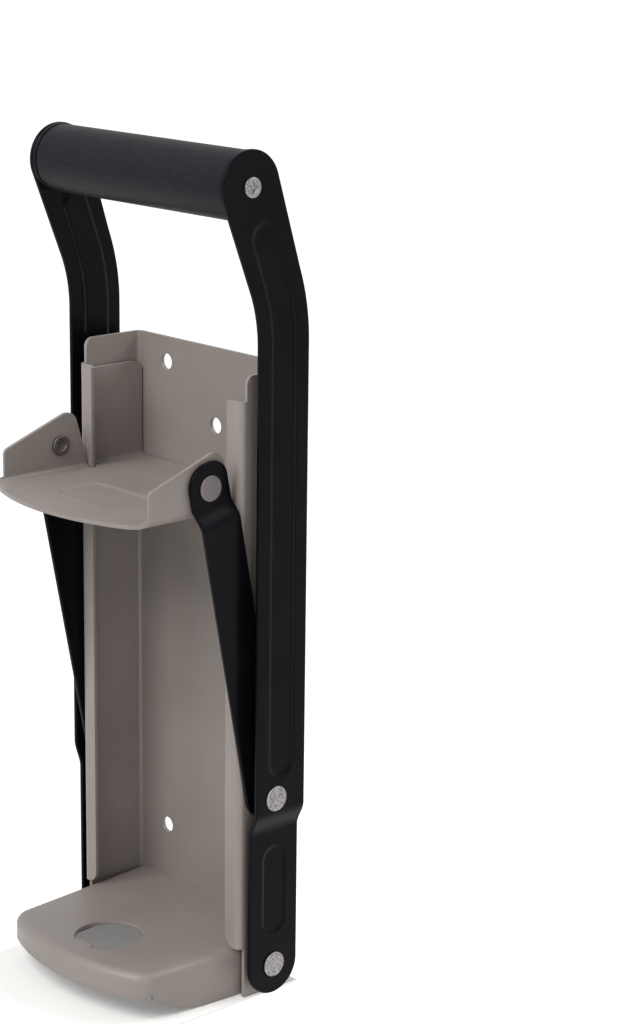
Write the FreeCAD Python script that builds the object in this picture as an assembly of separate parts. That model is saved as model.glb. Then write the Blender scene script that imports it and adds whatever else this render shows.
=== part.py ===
import FreeCAD, Part
import math
import os

# A wall-mounted lever can crusher. X points to the right, Y into the wall, Z up. The wall face is y = 0,
# the underside of the base is z = 0 and the middle plane is x = 0. All sizes are in millimetres.

# Back channel: a folded sheet with side flanges and turned-in lips that guide the crush plate.
sheet = 1.5
channel_width = 97.2
channel_depth = 31.0
channel_height = 247.5
channel_bend = 3.0
lip_width = 8.2
lip_top_cut = 9.7
lip_bottom_cut = 20.4
flange_corner = 3.5
lip_top_corner = 1.2
lip_bottom_corner = 5.0
heel_clip = 7.0

# Screw holes for the wall: a pair near the top, one below on the middle line, a pair near the bottom.
wall_hole_diameter = 6.5
wall_hole_half_pitch = 29.9
top_hole_inset = 10.0
middle_hole_drop = 20.9
low_hole_height = 42.0

# Base pan: a folded tray with a short front skirt, sides that rise to it, and a drain opening with a tongue.
pan_reach = 81.8
pan_height = 19.4
pan_side_taper = 4.6
pan_front_radius = 92.0
pan_corner = 9.5
pan_fold = 3.5
pan_sheet = 1.5
pan_front_skirt = 9.7
pan_foot_reach = 42.0
pan_foot_radius = 42.4
pan_notch_radius = 1.5
pan_notch_reach = 69.0
drain_radius = 13.6
drain_reach = 57.6
drain_offset = 1.8
drain_tongue = 3.6
drain_tongue_root = 13.0
drain_tongue_tip = 6.0
drain_tongue_corner = 1.5
drain_tongue_offset = 1.0

# Crush plate: one stamped sheet with a floor, two guide walls in the channel and two ears in front of it.
plate_sheet = 1.5
plate_bottom = 196.0
plate_guide_gap = 1.1
plate_back_gap = 0.5
plate_neck_gap = 0.6
plate_lip_gap = 0.4
plate_reach = 86.0
plate_front_radius = 96.0
plate_corner = 11.0
plate_bend = 3.0
neck_relief_radius = 1.6
guide_height = 40.0
guide_corner = 5.0
ear_spread = 44.8
ear_front = 71.3
ear_front_height = 13.2
ear_peak_height = 24.7
ear_peak_reach = 37.4
ear_corner = 5.0
ear_front_corner = 2.5
pad_half_width = 20.0
pad_rear = 44.5
pad_front = 66.0
pad_corner = 5.0
pad_depth = 0.6
pad_slope = 2.0

# Linkage: lever hinge, crank length and lean, and the pin in the crush plate's ears, at rest.
pivot_reach = 16.9
pivot_height = 12.6
crank_length = 70.55
crank_lean = 2.1
ear_pin_reach = 44.2
ear_pin_rise = 11.4
lever_swing = 165.0

# Lever arms: flat sheet with a joggle below the link rivet and a forward bend below the grip.
arm_sheet = 1.8
arm_inner_low = 51.4
arm_joggle = 3.6
arm_joggle_length = 7.0
arm_joggle_drop = 10.1
arm_joggle_bend = 4.0
arm_width = 24.4
arm_bend_start = 246.4
arm_bend_radius = 70.0
arm_bend_angle = 19.6
arm_head_run = 37.7
arm_head_radius = 13.6
groove_width = 13.0
groove_depth = 0.8
groove_soft = 0.4
upper_groove_start = 14.3
upper_groove_end = 20.3
low_groove_width = 12.5
low_groove_depth = 0.4
low_groove_start = 18.7
low_groove_end = 43.6

# Links: narrow straps, joggled inwards under their heads, from the arms to the ears.
link_sheet = 1.7
link_width = 18.4
link_flange_gap = 0.35
link_ear_gap = 0.3
link_joggle_start = 7.0
link_joggle_end = 13.0
link_joggle_bend = 4.5
link_head_rise = 9.6
link_front_corner = 9.0
link_rear_corner = 7.0

# Rivets, spacers and running clearances.
rivet_head_radius = 5.0
rivet_head_height = 0.9
rivet_head_edge = 0.4
rivet_shank_radius = 3.0
rivet_tail_radius = 4.0
rivet_tail_height = 1.1
rivet_dimple_radius = 1.9
rivet_dimple_depth = 0.8
running_clearance = 0.06
side_play = 0.15
pivot_spacer_radius = 5.5
link_spacer_radius = 4.2

# Grip: a moulded sleeve with end caps on a steel rod, held by a screw through each arm.
sleeve_radius = 13.0
sleeve_bore_radius = 10.0
cap_radius = 13.4
cap_flange = 1.5
cap_edge = 0.4
cap_plug_length = 8.0
grip_rod_radius = 5.0
screw_head_radius = 3.8
screw_head_height = 1.1
screw_head_edge = 0.5
screw_shank_radius = 2.5
screw_length = 12.0
recess_length = 4.6
recess_width = 1.0
recess_depth = 0.7

# Places that follow from the sizes above.
half_width = channel_width / 2
flange_inner = half_width - sheet
lip_inner = half_width - lip_width
lip_top = channel_height - lip_top_cut
flange_front = -(channel_depth - channel_bend)
pivot = FreeCAD.Vector(0, -pivot_reach, pivot_height)
lean = math.radians(crank_lean)
crank = FreeCAD.Vector(0, -math.sin(lean), math.cos(lean)) * crank_length
link_pin = pivot + crank
ear_pin = FreeCAD.Vector(0, -ear_pin_reach, plate_bottom + ear_pin_rise)
link_length = link_pin.distanceToPoint(ear_pin)
link_lean = math.degrees(math.asin((link_pin.y - ear_pin.y) / link_length))
arm_inner_high = arm_inner_low + arm_joggle
arm_outer_low = arm_inner_low + arm_sheet
arm_outer_high = arm_inner_high + arm_sheet
link_inner = half_width + link_flange_gap
link_head_inner = ear_spread + link_ear_gap
ear_inner = ear_spread - plate_sheet
plate_top = plate_bottom + plate_sheet
guide_outer = flange_inner - plate_guide_gap
hole_radius = rivet_shank_radius + running_clearance
bend = math.radians(arm_bend_angle)
arm_bend_foot = pivot.z + arm_bend_start
arm_bend_end = FreeCAD.Vector(
    0,
    pivot.y - arm_bend_radius * (1 - math.cos(bend)),
    arm_bend_foot + arm_bend_radius * math.sin(bend),
)
arm_head = arm_bend_end + FreeCAD.Vector(0, -math.sin(bend), math.cos(bend)) * arm_head_run
X_AXIS = FreeCAD.Vector(1, 0, 0)
Y_AXIS = FreeCAD.Vector(0, 1, 0)
Z_AXIS = FreeCAD.Vector(0, 0, 1)
ORIGIN = FreeCAD.Vector(0, 0, 0)
CLEAR = 1.0
BEYOND = 400.0


def block(x0, x1, y0, y1, z0, z1):
    return Part.makeBox(x1 - x0, y1 - y0, z1 - z0, FreeCAD.Vector(x0, y0, z0))


def rod(y, z, radius, x0, x1):
    """A cylinder along X."""
    return Part.makeCylinder(radius, x1 - x0, FreeCAD.Vector(x0, y, z), X_AXIS)


def ring(y, z, outer, inner, x0, x1):
    return rod(y, z, outer, x0, x1).cut(rod(y, z, inner, x0 - CLEAR, x1 + CLEAR))


def rounded_outline(corners, place):
    """A closed wire through (a, b, radius) corners; place turns (a, b) into a point in space."""
    count = len(corners)
    starts, middles, ends = [], [], []
    for i, (a, b, radius) in enumerate(corners):
        here = FreeCAD.Vector(a, b, 0)
        back = FreeCAD.Vector(*corners[i - 1][:2], 0) - here
        ahead = FreeCAD.Vector(*corners[(i + 1) % count][:2], 0) - here
        back.normalize()
        ahead.normalize()
        half = back.getAngle(ahead) / 2
        reach = radius / math.tan(half)
        inward = back + ahead
        starts.append(here + back * reach)
        ends.append(here + ahead * reach)
        if radius > 0:
            inward.normalize()
            middles.append(here + inward * (radius / math.sin(half) - radius))
        else:
            middles.append(here)
    edges = []
    for i in range(count):
        first = place(starts[i].x, starts[i].y)
        last = place(ends[i].x, ends[i].y)
        if corners[i][2] > 0:
            middle = place(middles[i].x, middles[i].y)
            edges.append(Part.Arc(first, middle, last).toShape())
        follow = starts[(i + 1) % count]
        if (follow - ends[i]).Length > 1e-6:
            edges.append(Part.LineSegment(last, place(follow.x, follow.y)).toShape())
    return Part.Wire(edges)


def side_prism(corners, x0, x1):
    """Corners are (y, z, radius); the prism runs along X."""
    wire = rounded_outline(corners, lambda y, z: FreeCAD.Vector(x0, y, z))
    return Part.Face(wire).extrude(X_AXIS * (x1 - x0))


def front_prism(corners, y0, y1):
    """Corners are (x, z, radius); the prism runs along Y."""
    wire = rounded_outline(corners, lambda x, z: FreeCAD.Vector(x, y0, z))
    return Part.Face(wire).extrude(Y_AXIS * (y1 - y0))


def plan_prism(corners, z0, z1):
    """Corners are (x, y, radius); the prism runs along Z."""
    wire = rounded_outline(corners, lambda x, y: FreeCAD.Vector(x, y, z0))
    return Part.Face(wire).extrude(Z_AXIS * (z1 - z0))


def straight_edges(shape, direction, test):
    """Straight edges along a direction whose middle passes the test."""
    found = []
    for edge in shape.Edges:
        if edge.Curve.TypeId != "Part::GeomLine":
            continue
        along = edge.Vertexes[-1].Point - edge.Vertexes[0].Point
        if along.cross(direction).Length < 1e-6 * along.Length and test(edge.CenterOfMass):
            found.append(edge)
    return found


def outline_edges(shape, test):
    """Edges of which every sampled point passes the test."""
    found = []
    for edge in shape.Edges:
        if all(test(point) for point in edge.discretize(5)):
            found.append(edge)
    return found


def close(a, b):
    return abs(a - b) < 1e-4


def mirrored(shape):
    return shape.mirror(ORIGIN, X_AXIS)


def save_pair(name, right_shape):
    save(name + "_right", right_shape)
    save(name + "_left", mirrored(right_shape))


def save(name, shape):
    solid = shape.removeSplitter()
    solid.exportStep("parts/" + name + ".step")
    print(name, len(solid.Solids), "solid", round(solid.Volume, 2), "mm3", "valid", solid.isValid())


def back_channel():
    outer = [
        (-half_width, 0, channel_bend),
        (half_width, 0, channel_bend),
        (half_width, -channel_depth, channel_bend),
        (-half_width, -channel_depth, channel_bend),
    ]
    inner_bend = channel_bend - sheet
    inner = [
        (-flange_inner, -sheet, inner_bend),
        (flange_inner, -sheet, inner_bend),
        (flange_inner, sheet - channel_depth, inner_bend),
        (-flange_inner, sheet - channel_depth, inner_bend),
    ]
    body = plan_prism(outer, 0, channel_height).cut(plan_prism(inner, -CLEAR, channel_height + CLEAR))
    mouth = block(-lip_inner, lip_inner, -BEYOND, -channel_depth / 2, -CLEAR, BEYOND)
    body = body.cut(mouth)
    for low, high in ((-CLEAR, lip_bottom_cut), (lip_top, BEYOND)):
        body = body.cut(block(-BEYOND, BEYOND, -BEYOND, flange_front, low, high))
    body = body.makeFillet(
        flange_corner,
        straight_edges(body, X_AXIS, lambda p: close(p.y, flange_front) and close(p.z, channel_height)),
    )
    for height, radius in ((lip_top, lip_top_corner), (lip_bottom_cut, lip_bottom_corner)):
        body = body.makeFillet(
            radius,
            straight_edges(body, Y_AXIS, lambda p: close(abs(p.x), lip_inner) and close(p.z, height)),
        )
    body = clip_heels(body)
    for x, z in wall_holes():
        drill = Part.makeCylinder(wall_hole_diameter / 2, 3 * sheet, FreeCAD.Vector(x, -2 * sheet, z), Y_AXIS)
        body = body.cut(drill)
    return body.cut(rod(pivot.y, pivot.z, hole_radius, -BEYOND, BEYOND))


def clip_heels(body):
    """Cuts both lower rear corners off at 45 degrees."""
    heel = [
        (CLEAR, -heel_clip - CLEAR, 0),
        (CLEAR, heel_clip + CLEAR, 0),
        (-heel_clip - CLEAR, -CLEAR, 0),
        (-heel_clip - CLEAR, -heel_clip - CLEAR, 0),
    ]
    inside = half_width - 2 * channel_bend
    for x0, x1 in ((inside, BEYOND), (-BEYOND, -inside)):
        body = body.cut(side_prism(heel, x0, x1))
    return body


def wall_holes():
    top = channel_height - top_hole_inset
    return [
        (-wall_hole_half_pitch, top),
        (wall_hole_half_pitch, top),
        (0, top - middle_hole_drop),
        (-wall_hole_half_pitch, low_hole_height),
        (wall_hole_half_pitch, low_hole_height),
    ]


def pan_block(inset, low):
    """The pan's outer form pulled in by inset, with a flat underside at height low."""
    taper = math.tan(math.radians(pan_side_taper))
    rear = -sheet
    front = -(pan_reach - inset)
    top = pan_height - inset
    rear_half = flange_inner - inset
    front_half = rear_half - (rear - front) * taper
    plan = [(-rear_half, rear, 0), (rear_half, rear, 0), (front_half, front, 0), (-front_half, front, 0)]
    radius = pan_front_radius - inset
    centre = FreeCAD.Vector(0, front + radius, low)
    body = plan_prism(plan, low, top).common(Part.makeCylinder(radius, top - low, centre))
    corners = straight_edges(body, Z_AXIS, lambda p: p.y < -pan_foot_reach)
    body = body.makeFillet(pan_corner - inset, corners)
    folds = outline_edges(body, lambda p: close(p.z, top))
    folds = [edge for edge in folds if not close(edge.CenterOfMass.y, rear)]
    return body.makeFillet(pan_fold - inset, folds)


def channel_room(low, high):
    """The space in front of the back plate and between the flanges, with the bends' inner radius."""
    inner_bend = channel_bend - sheet
    plan = [
        (-flange_inner, -sheet, inner_bend),
        (flange_inner, -sheet, inner_bend),
        (flange_inner, -BEYOND, 0),
        (-flange_inner, -BEYOND, 0),
    ]
    return plan_prism(plan, low, high)


def base_pan():
    body = pan_block(0, 0).cut(pan_block(pan_sheet, -CLEAR))
    skirt_low = pan_height - pan_front_skirt
    under = block(-BEYOND, BEYOND, -BEYOND, -pan_foot_reach, -CLEAR, skirt_low)
    under = under.cut(rod(-pan_foot_reach, pan_foot_radius, pan_foot_radius, -BEYOND, BEYOND))
    body = body.cut(under)
    body = body.cut(rod(-pan_notch_reach, skirt_low, pan_notch_radius, -BEYOND, BEYOND))
    top = pan_height + CLEAR
    body = clip_heels(body.common(channel_room(-CLEAR, top)))
    return body.cut(drain_opening(top)).cut(rod(pivot.y, pivot.z, hole_radius, -BEYOND, BEYOND))


def drain_opening(top):
    """A round opening with a short tongue that reaches into it from the front."""
    hole = Part.makeCylinder(drain_radius, top, FreeCAD.Vector(drain_offset, -drain_reach, 0))
    front = -drain_reach - drain_radius
    root = drain_tongue_root / 2
    tip = drain_tongue_tip / 2
    tongue = [
        (drain_tongue_offset - root, front, 0),
        (drain_tongue_offset + root, front, 0),
        (drain_tongue_offset + tip, front + drain_tongue, drain_tongue_corner),
        (drain_tongue_offset - tip, front + drain_tongue, drain_tongue_corner),
    ]
    return hole.cut(plan_prism(tongue, 0, top))


def folded_channel(half, height, y0, y1):
    """A U of plate sheet, open at the top, from the crush plate's underside up."""
    outer = [
        (-half, plate_bottom, plate_bend),
        (half, plate_bottom, plate_bend),
        (half, plate_bottom + height, 0),
        (-half, plate_bottom + height, 0),
    ]
    inside = half - plate_sheet
    inner = [
        (-inside, plate_top, plate_bend - plate_sheet),
        (inside, plate_top, plate_bend - plate_sheet),
        (inside, plate_bottom + height + CLEAR, 0),
        (-inside, plate_bottom + height + CLEAR, 0),
    ]
    return front_prism(outer, y0, y1).cut(front_prism(inner, y0 - CLEAR, y1 + CLEAR))


def plate_ears():
    """The floor in front of the lips with an ear folded up on each side."""
    rear = -(channel_depth + plate_lip_gap)
    top = plate_bottom + ear_peak_height
    body = folded_channel(ear_spread, ear_peak_height, -plate_reach, rear)
    radius = plate_front_radius
    bulge = Part.makeCylinder(radius, BEYOND, FreeCAD.Vector(0, radius - plate_reach, 0))
    front = block(-ear_spread, ear_spread, -plate_reach, rear, plate_bottom, top).common(bulge)
    front = front.makeFillet(plate_corner, straight_edges(front, Z_AXIS, lambda p: p.y < -ear_pin_reach))
    ear = [
        (rear, plate_bottom, 0),
        (rear, plate_top + plate_bend, 0),
        (-ear_peak_reach, top, ear_corner),
        (-ear_peak_reach - ear_corner, top - CLEAR, 0),
        (-ear_front, plate_bottom + ear_front_height, ear_front_corner),
        (-ear_front, plate_bottom + plate_bend, 0),
        (-plate_reach, plate_bottom + plate_bend, 0),
        (-plate_reach, plate_bottom, 0),
    ]
    body = body.common(front).common(side_prism(ear, -BEYOND, BEYOND))
    return body.cut(rod(ear_pin.y, ear_pin.z, hole_radius, -BEYOND, BEYOND))


def plate_guides():
    """The floor inside the channel with a guide wall folded up on each side."""
    front = -(channel_depth - sheet - plate_lip_gap)
    rear = -(sheet + plate_back_gap)
    top = plate_bottom + guide_height
    body = folded_channel(guide_outer, guide_height, front, rear)
    wall = [
        (front, plate_bottom, 0),
        (rear, plate_bottom, 0),
        (rear, top, guide_corner),
        (front, top, guide_corner),
    ]
    return body.common(side_prism(wall, -BEYOND, BEYOND))


def crush_plate():
    neck_half = lip_inner - plate_neck_gap
    front = -(channel_depth + plate_lip_gap)
    rear = -(channel_depth - sheet - plate_lip_gap)
    neck = block(-neck_half, neck_half, front, rear, plate_bottom, plate_top)
    body = plate_ears().fuse(neck).fuse(plate_guides())
    for side in (-1, 1):
        corner = FreeCAD.Vector(side * neck_half, -channel_depth, plate_bottom - CLEAR)
        body = body.cut(Part.makeCylinder(neck_relief_radius, plate_sheet + 2 * CLEAR, corner))
    body = body.fuse(pad_form(plate_bottom - pad_depth, plate_bottom + pad_depth))
    return body.cut(pad_form(plate_top - pad_depth, plate_top))


def pad_form(low, high):
    """A shallow pressed pad with sloping sides, narrower at its lower face."""
    wires = []
    for z, inset in ((low, pad_slope), (high, 0)):
        half = pad_half_width - inset
        rear = -pad_rear - inset
        front = -pad_front + inset
        corner = pad_corner - inset
        corners = [(-half, rear, corner), (half, rear, corner), (half, front, corner), (-half, front, corner)]
        wires.append(rounded_outline(corners, lambda x, y, z=z: FreeCAD.Vector(x, y, z)))
    return Part.makeLoft(wires, True, True)


def bent_strip(start, end, half, head_radius=None):
    """A face on x = 0 along an arm's middle line, from height start to end past the bend."""
    centre = FreeCAD.Vector(0, pivot.y - arm_bend_radius, arm_bend_foot)
    along = FreeCAD.Vector(0, -math.sin(bend), math.cos(bend))
    across = FreeCAD.Vector(0, math.cos(bend), math.sin(bend))
    tip = arm_bend_end + along * end
    foot = FreeCAD.Vector(0, pivot.y, start)
    round_tip = head_radius or half
    sides = []
    for sign in (1, -1):
        radius = arm_bend_radius + sign * half
        swept = FreeCAD.Vector(0, math.cos(bend / 2), math.sin(bend / 2)) * radius
        leave = arm_bend_end + across * (sign * half)
        turn = math.asin((round_tip - half) / end)
        lift = across * (sign * math.cos(turn)) - along * math.sin(turn)
        sides.append((foot + Y_AXIS * (sign * half), centre + Y_AXIS * radius, centre + swept, leave,
                      tip + lift * round_tip))
    (a0, a1, a2, a3, a4), (b0, b1, b2, b3, b4) = sides
    edges = [
        Part.Arc(b0, foot - Z_AXIS * half, a0).toShape(),
        Part.LineSegment(a0, a1).toShape(),
        Part.Arc(a1, a2, a3).toShape(),
        Part.LineSegment(a3, a4).toShape(),
        Part.Arc(a4, tip + along * round_tip, b4).toShape(),
        Part.LineSegment(b4, b3).toShape(),
        Part.Arc(b3, b2, b1).toShape(),
        Part.LineSegment(b1, b0).toShape(),
    ]
    return Part.Face(Part.Wire(edges))


def slot(z0, z1, half, x0, x1):
    """A round-ended prism along X on the arm's straight part."""
    corners = [
        (pivot.y - half, z0 - half, half),
        (pivot.y + half, z0 - half, half),
        (pivot.y + half, z1 + half, half),
        (pivot.y - half, z1 + half, half),
    ]
    return side_prism(corners, x0, x1)


def moved_prism(face, x0, x1):
    """A face on x = 0 moved to x0 and extruded to x1."""
    moved = face.copy()
    moved.translate(X_AXIS * x0)
    return moved.extrude(X_AXIS * (x1 - x0))


def arm_sheet_profile():
    """The arm seen from the front: straight, joggled outwards, straight again."""
    high = link_pin.z - arm_joggle_drop + arm_joggle_length / 2
    low = high - arm_joggle_length
    bottom = pivot.z - arm_width
    top = arm_head.z + arm_width
    return [
        (arm_inner_low, bottom, 0),
        (arm_outer_low, bottom, 0),
        (arm_outer_low, low, arm_joggle_bend),
        (arm_outer_high, high, arm_joggle_bend + arm_sheet),
        (arm_outer_high, top, 0),
        (arm_inner_high, top, 0),
        (arm_inner_high, high, arm_joggle_bend),
        (arm_inner_low, low, arm_joggle_bend + arm_sheet),
    ]


def lever_arm():
    sheet_form = front_prism(arm_sheet_profile(), -BEYOND, BEYOND)
    outline = bent_strip(pivot.z, arm_head_run, arm_width / 2, arm_head_radius)
    body = sheet_form.common(moved_prism(outline, arm_inner_low - CLEAR, arm_outer_high + CLEAR))
    half = groove_width / 2
    start = link_pin.z + upper_groove_start
    end = arm_head_run - upper_groove_end
    rib = bent_strip(start, end, half)
    dent = bent_strip(start, end, half - groove_soft)
    body = body.fuse(moved_prism(rib, arm_inner_high - groove_depth, arm_inner_high + groove_soft))
    body = body.cut(moved_prism(dent, arm_outer_high - groove_depth, arm_outer_high + CLEAR))
    half = low_groove_width / 2
    z0 = pivot.z + low_groove_start
    z1 = pivot.z + low_groove_end
    body = body.fuse(slot(z0, z1, half, arm_inner_low - low_groove_depth, arm_inner_low + groove_soft))
    body = body.cut(slot(z0, z1, half - groove_soft, arm_outer_low - low_groove_depth, arm_outer_low + CLEAR))
    for place in (pivot, link_pin):
        body = body.cut(rod(place.y, place.z, hole_radius, 0, BEYOND))
    return body.cut(rod(arm_head.y, arm_head.z, screw_shank_radius + running_clearance, 0, BEYOND))


def link():
    """Built upright over its lower hole, then leaned forward about it."""
    half = link_width / 2
    pin_z = link_pin.z + link_length
    high = pin_z - link_joggle_start
    low = pin_z - link_joggle_end
    bottom = link_pin.z - link_width
    top = pin_z + link_width
    link_outer = link_inner + link_sheet
    head_outer = link_head_inner + link_sheet
    profile = [
        (link_inner, bottom, 0),
        (link_outer, bottom, 0),
        (link_outer, low, link_joggle_bend + link_sheet),
        (head_outer, high, link_joggle_bend),
        (head_outer, top, 0),
        (link_head_inner, top, 0),
        (link_head_inner, high, link_joggle_bend + link_sheet),
        (link_inner, low, link_joggle_bend),
    ]
    outline = [
        (link_pin.y - half, link_pin.z - half, half),
        (link_pin.y + half, link_pin.z - half, half),
        (link_pin.y + half, pin_z + link_head_rise, link_rear_corner),
        (link_pin.y - half, pin_z + link_head_rise, link_front_corner),
    ]
    body = front_prism(profile, -BEYOND, BEYOND).common(side_prism(outline, 0, BEYOND))
    for z in (link_pin.z, pin_z):
        body = body.cut(rod(link_pin.y, z, hole_radius, 0, BEYOND))
    body.rotate(link_pin, X_AXIS, link_lean)
    return body


def rivet_head(y, z, x):
    """A flat round head with a soft rim that sits on a face at x."""
    head = rod(y, z, rivet_head_radius, x, x + rivet_head_height)
    rim = outline_edges(head, lambda p: close(p.x, x + rivet_head_height))
    return head.makeFillet(rivet_head_edge, rim)


def rivet(place, x_tail, x_head):
    """A shank from a tail face to a head face, with its head on the outside."""
    shank = rod(place.y, place.z, rivet_shank_radius, x_tail, x_head)
    return shank.fuse(rivet_head(place.y, place.z, x_head))


def rivet_tail(place, x):
    """The rolled tail inside a face at x, with a dimple in its end."""
    tail = rod(place.y, place.z, rivet_tail_radius, x - rivet_tail_height, x)
    rim = outline_edges(tail, lambda p: close(p.x, x - rivet_tail_height))
    tail = tail.makeFillet(rivet_head_edge, rim)
    deep = x - rivet_tail_height + rivet_dimple_depth
    return tail.cut(rod(place.y, place.z, rivet_dimple_radius, x - BEYOND, deep))


def pivot_rivet():
    """Through the arm, its spacer, the flange and the pan's side, with a tail inside the pan."""
    taper = math.tan(math.radians(pan_side_taper))
    seat_reach = pivot_reach + rivet_tail_radius
    inner_face = flange_inner - pan_sheet - (seat_reach - sheet) * taper
    shank = rivet(pivot, inner_face, arm_outer_low + side_play)
    return shank.fuse(rivet_tail(pivot, inner_face))


def link_rivet():
    """Through the arm, its spacer and the link, flush at its inner end."""
    return rivet(link_pin, link_inner, arm_outer_high)


def ear_rivet():
    """The tail and the shank in the ear, up to the ear's outer face."""
    shank = rod(ear_pin.y, ear_pin.z, rivet_shank_radius, ear_inner, ear_spread)
    return shank.fuse(rivet_tail(ear_pin, ear_inner))


def ear_rivet_head():
    """The head and the shank in the link, down to the link's inner face."""
    return rivet(ear_pin, link_head_inner, link_head_inner + link_sheet)


def grip_cap():
    """An end cap: a round flange against the arm and a plug in the sleeve."""
    outer = arm_inner_high
    inner = outer - cap_flange
    flange = rod(arm_head.y, arm_head.z, cap_radius, inner, outer)
    flange = flange.makeFillet(cap_edge, outline_edges(flange, lambda p: close(p.x, inner)))
    plug = rod(arm_head.y, arm_head.z, sleeve_bore_radius, inner - cap_plug_length, inner)
    body = flange.fuse(plug)
    return body.cut(rod(arm_head.y, arm_head.z, grip_rod_radius + running_clearance, 0, BEYOND))


def grip_sleeve():
    end = arm_inner_high - cap_flange
    return ring(arm_head.y, arm_head.z, sleeve_radius, sleeve_bore_radius, -end, end)


def grip_rod():
    body = rod(arm_head.y, arm_head.z, grip_rod_radius, -arm_inner_high, arm_inner_high)
    depth = screw_length - arm_sheet + CLEAR
    bore = rod(arm_head.y, arm_head.z, screw_shank_radius, arm_inner_high - depth, BEYOND)
    return body.cut(bore).cut(mirrored(bore))


def grip_screw():
    top = arm_outer_high + screw_head_height
    head = rod(arm_head.y, arm_head.z, screw_head_radius, arm_outer_high, top)
    head = head.makeFillet(screw_head_edge, outline_edges(head, lambda p: close(p.x, top)))
    shank = rod(arm_head.y, arm_head.z, screw_shank_radius, arm_outer_high - screw_length, arm_outer_high)
    body = head.fuse(shank)
    for turn in (0, 90):
        bar = block(
            top - recess_depth,
            top + CLEAR,
            arm_head.y - recess_length / 2,
            arm_head.y + recess_length / 2,
            arm_head.z - recess_width / 2,
            arm_head.z + recess_width / 2,
        )
        bar.rotate(arm_head, X_AXIS, turn)
        body = body.cut(bar)
    return body


def report_linkage():
    """The crush plate's travel and the link's turn on the arm, from rest to the lever's stop."""
    full = math.radians(crank_lean + lever_swing)
    pin_y = pivot.y - crank_length * math.sin(full)
    pin_z = pivot.z + crank_length * math.cos(full)
    end_lean = math.degrees(math.asin((pin_y - ear_pin.y) / link_length))
    end_z = pin_z + link_length * math.cos(math.radians(end_lean))
    print("travel", round(ear_pin.z - end_z, 3), "link turn", round(end_lean - link_lean - lever_swing, 3))
    for name, place in (("pivot", pivot), ("link pin", link_pin), ("ear pin", ear_pin), ("grip", arm_head)):
        print(name, round(place.y, 3), round(place.z, 3))


def main():
    os.makedirs("parts", exist_ok=True)
    save("back_channel", back_channel())
    save("base_pan", base_pan())
    save("crush_plate", crush_plate())
    save("grip_sleeve", grip_sleeve())
    save("grip_rod", grip_rod())
    save_pair("lever_arm", lever_arm())
    save_pair("link", link())
    save_pair("grip_cap", grip_cap())
    save_pair("grip_screw", grip_screw())
    save_pair("pivot_rivet", pivot_rivet())
    pivot_gap = (half_width, arm_inner_low - side_play)
    save_pair("pivot_spacer", ring(pivot.y, pivot.z, pivot_spacer_radius, rivet_shank_radius, *pivot_gap))
    save_pair("link_rivet", link_rivet())
    link_gap = (link_inner + link_sheet + side_play, arm_inner_high)
    save_pair("link_spacer", ring(link_pin.y, link_pin.z, link_spacer_radius, rivet_shank_radius, *link_gap))
    save_pair("ear_rivet", ear_rivet())
    save_pair("ear_rivet_head", ear_rivet_head())
    report_linkage()


main()
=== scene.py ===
# %% [markdown]
# # A lever can crusher, dressed for the studio
#
# The sheet-metal crusher comes in as a fixed model: every folded sheet, strap and rivet is already in its
# place and at its real size. This lesson gives each of them the finish of the real thing. It builds the
# stamped arms, the links, the grip and the small turned parts again as smooth surfaces, because their
# soft pressed edges are what catches the light.

# %% Load the crusher
import math

import bmesh
import bpy
import numpy as np
from mathutils import Matrix, Vector


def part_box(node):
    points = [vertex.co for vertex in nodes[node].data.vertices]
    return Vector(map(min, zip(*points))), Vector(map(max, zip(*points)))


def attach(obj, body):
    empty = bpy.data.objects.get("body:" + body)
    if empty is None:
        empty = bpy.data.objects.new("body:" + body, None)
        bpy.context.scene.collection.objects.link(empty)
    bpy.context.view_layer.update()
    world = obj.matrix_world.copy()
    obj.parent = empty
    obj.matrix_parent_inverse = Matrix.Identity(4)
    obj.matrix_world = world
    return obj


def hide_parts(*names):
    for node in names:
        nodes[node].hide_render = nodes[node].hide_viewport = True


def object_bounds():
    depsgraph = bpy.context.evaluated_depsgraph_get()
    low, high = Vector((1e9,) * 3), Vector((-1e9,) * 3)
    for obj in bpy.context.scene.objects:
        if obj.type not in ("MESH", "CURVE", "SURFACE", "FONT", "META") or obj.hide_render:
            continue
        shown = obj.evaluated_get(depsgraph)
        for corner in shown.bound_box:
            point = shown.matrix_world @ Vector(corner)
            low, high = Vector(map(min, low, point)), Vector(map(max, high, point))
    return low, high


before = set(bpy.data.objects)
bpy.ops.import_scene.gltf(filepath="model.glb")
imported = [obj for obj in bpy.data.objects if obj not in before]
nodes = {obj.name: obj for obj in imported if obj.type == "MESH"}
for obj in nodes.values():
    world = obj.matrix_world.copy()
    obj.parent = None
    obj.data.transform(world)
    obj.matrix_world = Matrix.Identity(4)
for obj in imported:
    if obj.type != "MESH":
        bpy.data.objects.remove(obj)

MM = 0.001
cad_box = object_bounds()


def add_object(name, data):
    """An object at the origin, linked into the scene."""
    obj = bpy.data.objects.new(name, data)
    bpy.context.scene.collection.objects.link(obj)
    return obj


print("loaded", len(nodes), "pieces, box", [round(v, 4) for v in cad_box[1] - cad_box[0]])

# %% [markdown]
# ## The camera
#
# The crusher is seen from its right, a little from above, with a long lens. A camera looks along its own
# minus Z, so its matrix is built from three directions: back towards the camera, to the right, and up. A
# small roll tilts the picture as the photographer held it. Azimuth 0 is straight in front of the crusher and
# 90 is on its right, for the camera and for the lamps.

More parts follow.
